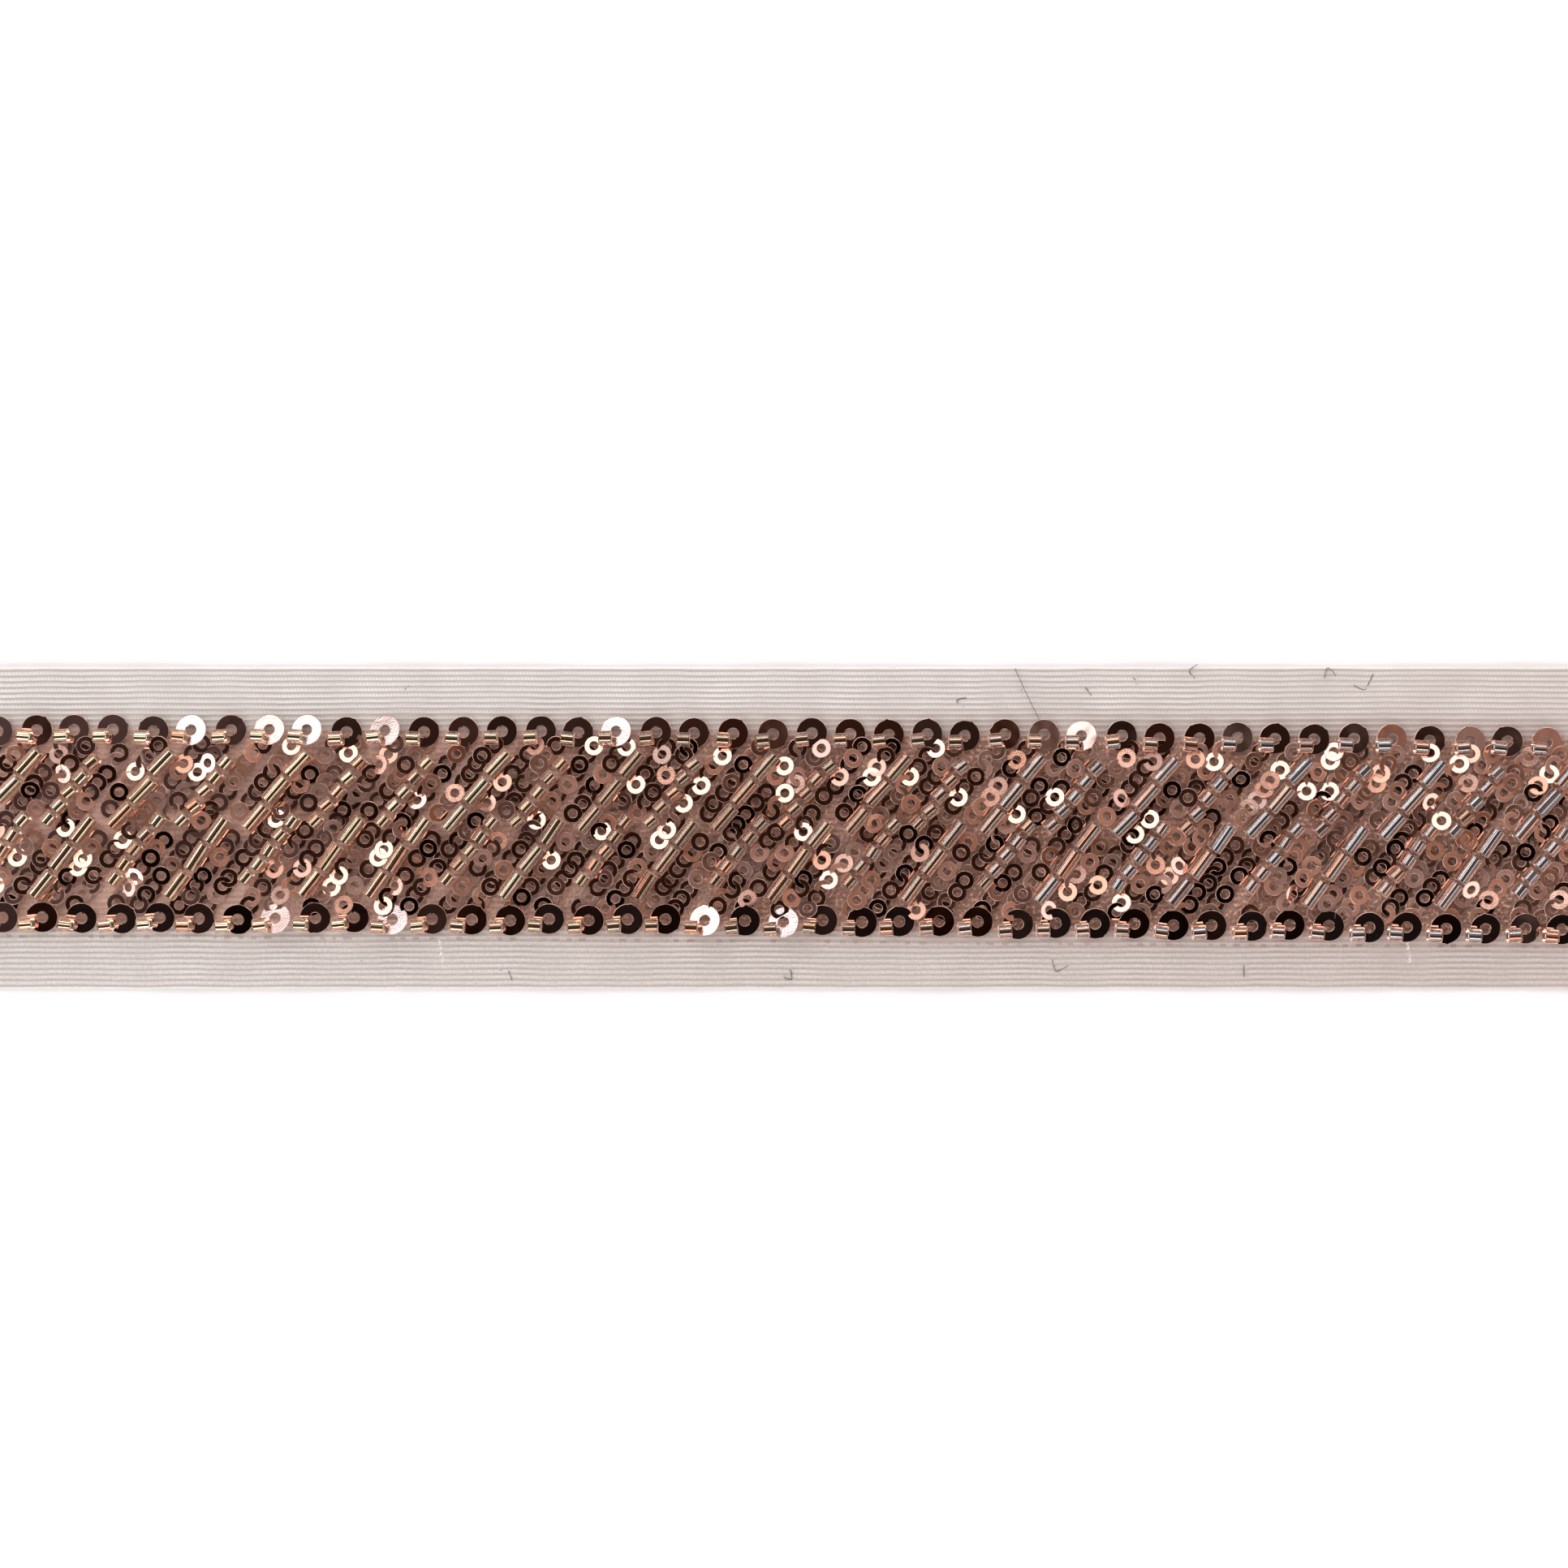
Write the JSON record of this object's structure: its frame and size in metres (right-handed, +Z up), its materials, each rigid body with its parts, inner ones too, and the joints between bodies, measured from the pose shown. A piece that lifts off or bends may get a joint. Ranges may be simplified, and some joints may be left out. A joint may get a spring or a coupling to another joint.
{
  "type": "sequin trim",
  "caption": "Straight flat length of sheer ribbed net ribbon with a beaded band: edge rows of large sequins and slanting strings of glass beads between lanes of small sequins.",
  "frame": {"origin": "middle of the ribbon's flat underside", "axes": "+X along the ribbon, +Y across it towards its upper edge in the picture, +Z up out of the beaded face"},
  "size_m": [0.26, 0.0518, 0.0038],
  "materials": {
    "net": "sheer off-white net, fine lengthwise ribs",
    "large_sequins": "mirror-bright brown foil",
    "small_sequins": "mirror-bright rose brown foil, some see-through",
    "bugle_beads": "rose glass with a silver-lined hole",
    "short_beads": "rose glass with a silver-lined hole"
  },
  "bodies": {
    "root": {"bugle_string_01": "bugle_beads", "bugle_string_03": "bugle_beads", "bugle_string_05": "bugle_beads", "bugle_string_08": "bugle_beads", "bugle_string_10": "bugle_beads", "bugle_string_12": "bugle_beads", "bugle_string_14": "bugle_beads", "bugle_string_16": "bugle_beads", "bugle_string_18": "bugle_beads", "bugle_string_20": "bugle_beads", "bugle_string_22": "bugle_beads", "bugle_string_24": "bugle_beads", "edge_row_lower": "large_sequins", "edge_row_upper": "large_sequins", "mixed_string_07": "bugle_beads", "ribbon": "net", "sequin_lane_01": "small_sequins", "sequin_lane_02": "small_sequins", "sequin_lane_03": "small_sequins", "sequin_lane_04": "small_sequins", "sequin_lane_05": "small_sequins", "sequin_lane_06": "small_sequins", "sequin_lane_07": "small_sequins", "sequin_lane_08": "small_sequins", "sequin_lane_09": "small_sequins", "sequin_lane_10": "small_sequins", "sequin_lane_11": "small_sequins", "sequin_lane_12": "small_sequins", "sequin_lane_13": "small_sequins", "sequin_lane_14": "small_sequins", "sequin_lane_15": "small_sequins", "sequin_lane_16": "small_sequins", "sequin_lane_17": "small_sequins", "sequin_lane_18": "small_sequins", "sequin_lane_19": "small_sequins", "sequin_lane_20": "small_sequins", "sequin_lane_21": "small_sequins", "sequin_lane_22": "small_sequins", "sequin_lane_23": "small_sequins", "sequin_lane_24": "small_sequins", "sequin_lane_25": "small_sequins", "sequin_lane_26": "small_sequins", "short_string_02": "short_beads", "short_string_04": "short_beads", "short_string_06": "short_beads", "short_string_09": "short_beads", "short_string_11": "short_beads", "short_string_13": "short_beads", "short_string_15": "short_beads", "short_string_17": "short_beads", "short_string_19": "short_beads", "short_string_21": "short_beads", "short_string_23": "short_beads", "short_string_25": "short_beads"}
  },
  "joints": []
}
